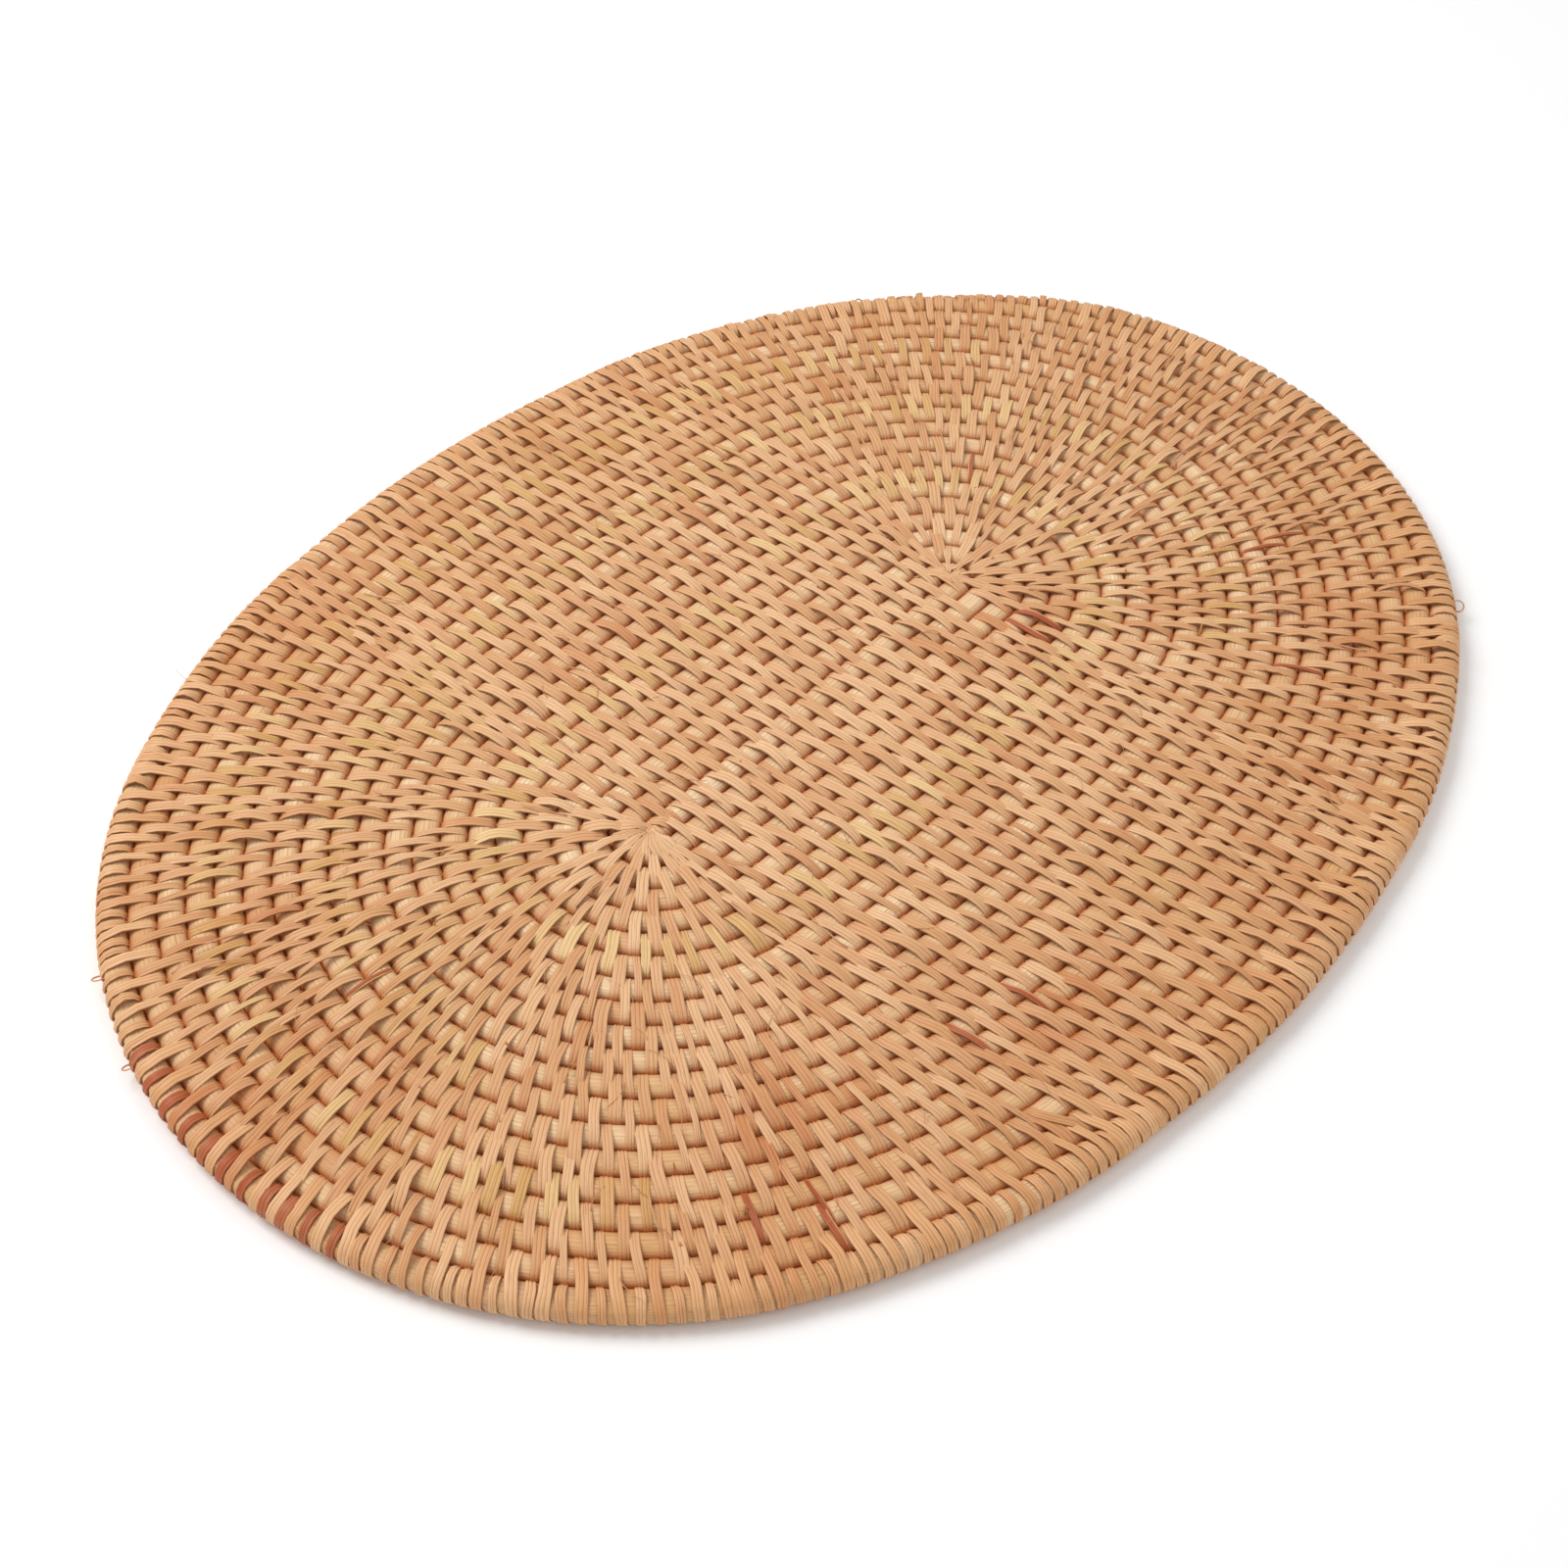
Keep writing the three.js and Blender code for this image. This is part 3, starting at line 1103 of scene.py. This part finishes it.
@dataclass(frozen=True)
class RattanFinish:
    """The look of split strip or round cane.

    Along and across are how fine the grain is, and strands how many it shows round the section.
    """

    name: str
    pale: tuple
    deep: tuple
    green: tuple
    along: float = 0.9
    across: float = 9.0
    strands: float = 3.0
    streaks: float = 0.5
    # How much the grooves take the pore colour: partly painted shade on the strips, grain lines on the
    # cane.
    grooves: float = 0.55
    roughness: float = 0.5
    relief: float = 0.12 * MM
    warm: tuple = srgb(200, 124, 74)
    # Darkens the pores, which are real grain, and the grooves and strip walls, which are partly painted
    # shade.
    pore_and_shade: tuple = srgb(128, 64, 26)
    skin: tuple = srgb(166, 60, 20)
    # Painted shade: the brown mixed into the valleys between rows in place of their shadow.
    painted_shade: tuple = srgb(184, 102, 44)
    skin_wear: float = 0.3
    pore_share: float = 0.45
    # How much of the painted valley shade is mixed in.
    painted_shade_share: float = 0.9
    bump_strength: float = 0.7
    specular: float = 0.3

    def material(self, fibre: bpy.types.NodeTree, middle: float) -> bpy.types.Material:
        """Makes the material.

        Args:
            fibre: the shared grain group.
            middle: the height of the middle of the pad.

        Returns:
            The material.
        """
        material = bpy.data.materials.new(self.name)
        material.use_nodes = True
        material.node_tree.nodes.clear()
        n = Nodes(material.node_tree)
        grain = n.add("ShaderNodeGroup", node_tree=fibre)
        for key, value in {"Along Scale": self.along, "Across Scale": self.across,
                           "Strands": self.strands, "Middle": middle}.items():
            grain.inputs[key].default_value = value
        marks = {mark: n.add("ShaderNodeAttribute", attribute_name=mark.value).outputs["Fac"]
                 for mark in Mark}
        base = n.mix(marks[Mark.TONE], self.deep, self.pale)
        base = n.mix(marks[Mark.GREEN], base, self.green)
        base = n.mix(marks[Mark.WARM], base, self.warm)
        base = n.mix(n.math("MULTIPLY", grain.outputs["Fibre"], self.streaks), base, self.deep)
        worn = n.math("MULTIPLY_ADD", grain.outputs["Fibre"], -self.skin_wear, 1.0)
        base = n.mix(n.math("MULTIPLY", marks[Mark.SKIN], worn), base, self.skin)
        # Grooves and strip walls take the pore colour: partly painted shade on the strips, grain lines
        # on the cane.
        base = n.mix(n.math("MULTIPLY", grain.outputs["Groove"], self.grooves), base, self.pore_and_shade)
        base = n.mix(n.math("MULTIPLY", grain.outputs["Pores"], self.pore_share), base, self.pore_and_shade)
        # Painted shade: brown mixed in on the rows' sides near the middle of the pad's height, but not
        # on the rim's outside.
        painted_shade_mask = n.math("MULTIPLY", grain.outputs["Valley"], marks[Mark.SHELTER])
        base = n.mix(n.math("MULTIPLY", painted_shade_mask, self.painted_shade_share), base, self.painted_shade)
        bump = n.add("ShaderNodeBump", {"Height": grain.outputs["Height"], "Distance": self.relief,
                                        "Strength": self.bump_strength})
        shader = n.add("ShaderNodeBsdfPrincipled", {
            "Base Color": base, "Roughness": self.roughness, "Normal": bump.outputs[0],
            "Specular IOR Level": self.specular,
        })
        out = n.add("ShaderNodeOutputMaterial")
        n.tree.links.new(shader.outputs[0], out.inputs[0])
        return material


STRIP = RattanFinish("peeled_strip", pale=srgb(241, 199, 154), deep=srgb(212, 156, 106),
                     green=srgb(214, 177, 112))
GREEN_STRIP = RattanFinish("green_strip", pale=srgb(240, 206, 152), deep=srgb(211, 163, 101),
                           green=srgb(208, 174, 110))
RIM_STRIP = RattanFinish("rim_strip", pale=srgb(245, 202, 156), deep=srgb(220, 164, 112),
                         green=srgb(214, 176, 112), grooves=0.6, roughness=0.45)
CANE = RattanFinish("core_cane", pale=srgb(255, 232, 194), deep=srgb(217, 169, 115),
                    green=srgb(220, 186, 130), along=0.6, across=46.0, strands=26.0, streaks=0.75,
                    grooves=0.3, roughness=0.6, relief=0.1 * MM)


# ---------------------------------------------------------------------------------------------
# Studio
# ---------------------------------------------------------------------------------------------


@dataclass(frozen=True)
class SoftLight:
    """A soft square light aimed at the pad."""

    name: str
    place: tuple[float, float, float]
    size: float
    power: float

    def build(self) -> None:
        """Makes the light."""
        data = bpy.data.lights.new(self.name, "AREA")
        data.size = self.size
        data.energy = self.power
        lamp = bpy.data.objects.new(self.name, data)
        lamp.location = self.place
        lamp.rotation_euler = (-Vector(self.place)).to_track_quat("-Z", "Y").to_euler()
        bpy.context.scene.collection.objects.link(lamp)


@dataclass
class Studio:
    """A pale floor, soft lights and the camera."""

    floor_level: float
    camera_at: tuple[float, float, float] = (-0.33272, -0.28198, 0.44337)
    looks_at: tuple[float, float, float] = (-0.0247, -0.01038, 0.0)
    lens: float = 53.34
    sensor: float = 36
    floor_half: float = 8.0
    floor_grey: float = 0.96
    floor_roughness: float = 0.9
    sky: float = 0.56
    lights: tuple[SoftLight, ...] = (
        SoftLight("key_light", (-0.35, 0.9, 1.2), 0.8, 15.0),
        SoftLight("fill_light", (0.6, -0.9, 1.2), 1.6, 5.0),
    )

    def build(self) -> None:
        """Makes the floor, the camera, the lights and the sky."""
        self.floor()
        self.camera()
        for light in self.lights:
            light.build()
        world = bpy.data.worlds.new("soft_sky")
        world.use_nodes = True
        background = world.node_tree.nodes["Background"]
        background.inputs["Color"].default_value = (1, 1, 1, 1)
        background.inputs["Strength"].default_value = self.sky
        bpy.context.scene.world = world
        bpy.context.scene.view_settings.view_transform = "Standard"

    def floor(self) -> None:
        """A wide white surface under the pad."""
        bm = bmesh.new()
        bmesh.ops.create_grid(bm, x_segments=1, y_segments=1, size=self.floor_half)
        for vert in bm.verts:
            vert.co.z = self.floor_level
        mesh = bpy.data.meshes.new("floor")
        bm.to_mesh(mesh)
        bm.free()
        floor = bpy.data.objects.new("floor", mesh)
        bpy.context.scene.collection.objects.link(floor)
        material = bpy.data.materials.new("floor_white")
        material.use_nodes = True
        shader = material.node_tree.nodes["Principled BSDF"]
        shader.inputs["Base Color"].default_value = (*[self.floor_grey] * 3, 1)
        shader.inputs["Roughness"].default_value = self.floor_roughness
        mesh.materials.append(material)

    def camera(self) -> None:
        """The camera, level, looking down across one corner of the oval."""
        data = bpy.data.cameras.new("camera")
        data.lens = self.lens
        data.sensor_width = self.sensor
        data.clip_start = 0.01
        camera = bpy.data.objects.new("camera", data)
        camera.location = self.camera_at
        aim = Vector(self.looks_at) - Vector(self.camera_at)
        camera.rotation_euler = aim.to_track_quat("-Z", "Y").to_euler()
        bpy.context.scene.collection.objects.link(camera)
        bpy.context.scene.camera = camera


# ---------------------------------------------------------------------------------------------
# The pad
# ---------------------------------------------------------------------------------------------


@dataclass
class SeatPad:
    """The whole pad: its core canes and its binding and rim strips.

    Pairs of numbers are the least and most of a random measure. Widths without a unit are shares
    of the usual width there, and lifts and slack are in millimetres. Thin, loose and the chances
    are shares of the stitches. Rim skin and rim loops are bearings, in degrees. Start wraps,
    slant wrap, rim overlap and last step are phases.
    """

    coil: Coil
    rng: random.Random
    way: StripWay = field(init=False)
    looks: dict[str, bpy.types.Material] = field(init=False)
    core_lengths: int = 5
    binding_strips: int = 24
    rim_strips: int = 4
    first_width: float = 3.1 * MM
    last_width: float = 2.85 * MM
    rim_width: float = 2.75 * MM
    short_wrap: float = 0.84
    usual_widths: tuple[float, float] = (0.78, 1.2)
    thin: float = 0.1
    thin_widths: tuple[float, float] = (0.5, 0.68)
    snug_lift: tuple[float, float] = (0.0, 0.2)
    loose: float = 0.15
    loose_lift: tuple[float, float] = (0.4, 1.25)
    first_turn_lift: tuple[float, float] = (0.0, 0.8)
    slack: float = 0.5
    patch_shares: tuple[float, ...] = (0.0, 0.3, 0.6, 1.2)
    skin_reach: float = 5 * MM
    skin_chance: float = 0.7
    skin_share: float = 0.9
    skin_width: float = 0.62
    green_every: int = 7
    first_green: int = 5
    start_wraps: tuple[float, ...] = (-0.997, -0.974, -0.95)
    slant_wrap: float = -0.97
    slant_lean: float = 6 * MM
    slant_lift: float = 1.0 * MM
    rim_overlap: float = 0.035
    wide_gap: float = 8.8 * MM
    rim_skin: tuple[float, float] = (167, 192)
    rim_skin_chance: float = 0.8
    rim_skin_share: float = 0.85
    rim_loops: tuple[float, ...] = (-36, 36, 160, 168)
    rim_section: StripSection = StripSection(crown=0.16 * MM)
    rim_loose_fibres: int = 2
    last_step: float = 0.01

    def build(self) -> None:
        """Builds every piece in order."""
        fibre = fibre_group()
        self.looks = {finish.name: finish.material(fibre, self.coil.height / 2)
                      for finish in (STRIP, GREEN_STRIP, RIM_STRIP, CANE)}
        self.way = StripWay(self.coil)
        self.cores()
        self.strips()

    def shares(self, first: float, last: float, count: int) -> list[float]:
        """Phases that cut a stretch of the coil into equal lengths."""
        phase = np.linspace(first, last, 4001)
        run = np.concatenate([[0], np.cumsum(self.coil.span(phase[:-1]) * np.diff(phase))])
        return list(np.interp(np.linspace(0, run[-1], count + 1), run, phase))

    def cores(self) -> None:
        """The round canes, end to end."""
        joins = self.shares(-1.0, self.coil.last_phase, self.core_lengths)
        for n, (first, last) in enumerate(zip(joins, joins[1:]), 1):
            cane = CoreCane(f"cane_{n}", f"core_cane_{n}", first, last, self.way, self.rng)
            report(cane.build(self.looks["core_cane"]))

    def strips(self) -> None:
        """The strips, each through its own run of stitches."""
        plan = StitchPlan(self.coil, self.rng)
        places = plan.lay_out()
        last = self.coil.last_phase
        edge = last - 4 - self.rim_overlap
        self.bind(places, plan, 0.0, edge, self.binding_strips, "binding_strip", 2)
        self.bind(places, plan, edge, last, self.rim_strips, "rim_strip", 1)

    def bind(self, places: list[float], plan: StitchPlan, first: float, last: float, count: int,
             node: str, digits: int) -> None:
        """Makes the strips over one stretch of the coil.

        Args:
            places: the phases of all the stitches round two rows.
            plan: how they were laid out.
            first: the phase where the stretch starts.
            last: the phase where it ends.
            count: how many strips bind it.
            node: the first part of the strips' names in the frame.
            digits: how many digits end those names.
        """
        joins = self.shares(first, last, count)
        rim = node == "rim_strip"
        for n, (a, b) in enumerate(zip(joins, joins[1:]), 1):
            run = [p for p in places if a <= p < b]
            after = next((p for p in places if p >= b), run[-1] + self.last_step)
            stitches = self.stitches(run, after, plan, rim)
            if n == 1 and not rim:
                stitches = self.starting_stitches(plan) + stitches
            green = n % self.green_every == self.first_green
            slot = "rim_strip" if rim else "green_strip" if green else "peeled_strip"
            name = f"{node}_{n:0{digits}d}"
            strip = BindingStrip(name.replace("strip", "stitches"), name, slot, stitches, self.way,
                                 StripSection(), self.rng)
            if rim:
                strip = replace(strip, section=self.rim_section, splinters=0.0,
                                loose_fibres=self.rim_loose_fibres,
                                loops=self.loops_between(a, b))
            report(strip.build(self.looks[slot]))

    def loops_between(self, first: float, last: float) -> tuple[float, ...]:
        """Where on one stretch of the rim a loose loop stands out."""
        phase = np.linspace(first, last, 200)
        line = self.coil.plan(phase)
        bearing = np.degrees(np.arctan2(line[:, 1], line[:, 0]))
        found = []
        for wanted in self.rim_loops:
            off = np.abs((bearing - wanted + 180) % 360 - 180)
            if off.min() < 1:
                found.append(float(phase[off.argmin()]))
        return tuple(found)

    def stitches(self, places: list[float], after: float, plan: StitchPlan, rim: bool) -> list[Stitch]:
        """One strip's stitches, with a short wrap or two between each two at the rim."""
        found = []
        for here, later in zip(places, places[1:] + [after]):
            found.append(self.stitch(here, StitchKind.TWO_ROWS, plan))
            if rim:
                ends = self.coil.plan(np.array((here, later)))
                wide = np.linalg.norm(ends[1] - ends[0]) > self.wide_gap
                for phase in self.shares(here, later, 3 if wide else 2)[1:-1]:
                    found.append(self.stitch(phase, StitchKind.ONE_ROW, plan))
        found.append(self.stitch(after, StitchKind.TWO_ROWS, plan))
        return found

    def stitch(self, phase: float, kind: StitchKind, plan: StitchPlan) -> Stitch:
        """One stitch, a little different from its neighbours."""
        rng = self.rng
        rim = bool(self.coil.on_rim(phase))
        narrow = float(patch_marks(self.coil.plan(np.array(phase)))[2])
        width = self.first_width + (self.last_width - self.first_width) * settled(phase)
        width *= 1 - narrow
        if rim:
            width = self.rim_width * (self.short_wrap if kind is StitchKind.ONE_ROW else 1)
        lift = rng.uniform(*self.snug_lift)
        if rng.random() < self.loose:
            lift = rng.uniform(*self.loose_lift)
        elif phase < 4:
            lift = rng.uniform(*self.first_turn_lift)
        thin = rng.random() < self.thin and not rim
        width *= rng.uniform(*(self.thin_widths if thin else self.usual_widths))
        skin = self.skin(phase, kind)
        if skin > 0 and not rim:
            width *= self.skin_width
        lean = plan.lean(phase) + rng.uniform(-self.slack, self.slack) * MM
        bow = rng.uniform(-self.slack, self.slack) * MM
        return Stitch(phase, kind, width, lift * MM, lean, bow, rng.uniform(-1, 1),
                      rng.choice(self.patch_shares), rng.choice(self.patch_shares), skin)

    def skin(self, phase: float, kind: StitchKind) -> float:
        """How much of the cane's red-brown skin a stitch still shows."""
        x, y = self.coil.plan(np.array(phase))
        bearing = math.degrees(math.atan2(y, x)) % 360
        if self.coil.on_rim(phase) and kind is StitchKind.ONE_ROW:
            first, last = self.rim_skin
            shown = first < bearing < last and self.rng.random() < self.rim_skin_chance
            return self.rim_skin_share * shown
        near = any(math.hypot(x - a * MM, y - b * MM) < self.skin_reach for a, b in SKIN_PLACES)
        return self.skin_share * (near and self.rng.random() < self.skin_chance)

    def starting_stitches(self, plan: StitchPlan) -> list[Stitch]:
        """The wraps round the cane's first end, one of them slanting over the eye."""
        wraps = [self.stitch(phase, StitchKind.ONE_ROW, plan) for phase in self.start_wraps]
        slant = replace(wraps[0], phase=self.slant_wrap, lean=self.slant_lean, lift=self.slant_lift,
                        width=self.first_width, skin=0.0)
        return wraps + [slant]


def report(piece: bpy.types.Object) -> None:
    """Logs a finished piece."""
    log.info("%s: %d faces", piece.name, len(piece.data.polygons))


def main() -> None:
    """Builds the pad and its studio."""
    low, high = cad_box
    coil = Coil(high[0] - low[0], high[1] - low[1], high[2] - low[2])
    SeatPad(coil, random.Random(SEED)).build()
    Studio(floor_level=low[2] - FLOOR_GAP).build()


if __name__ == "__main__":
    main()
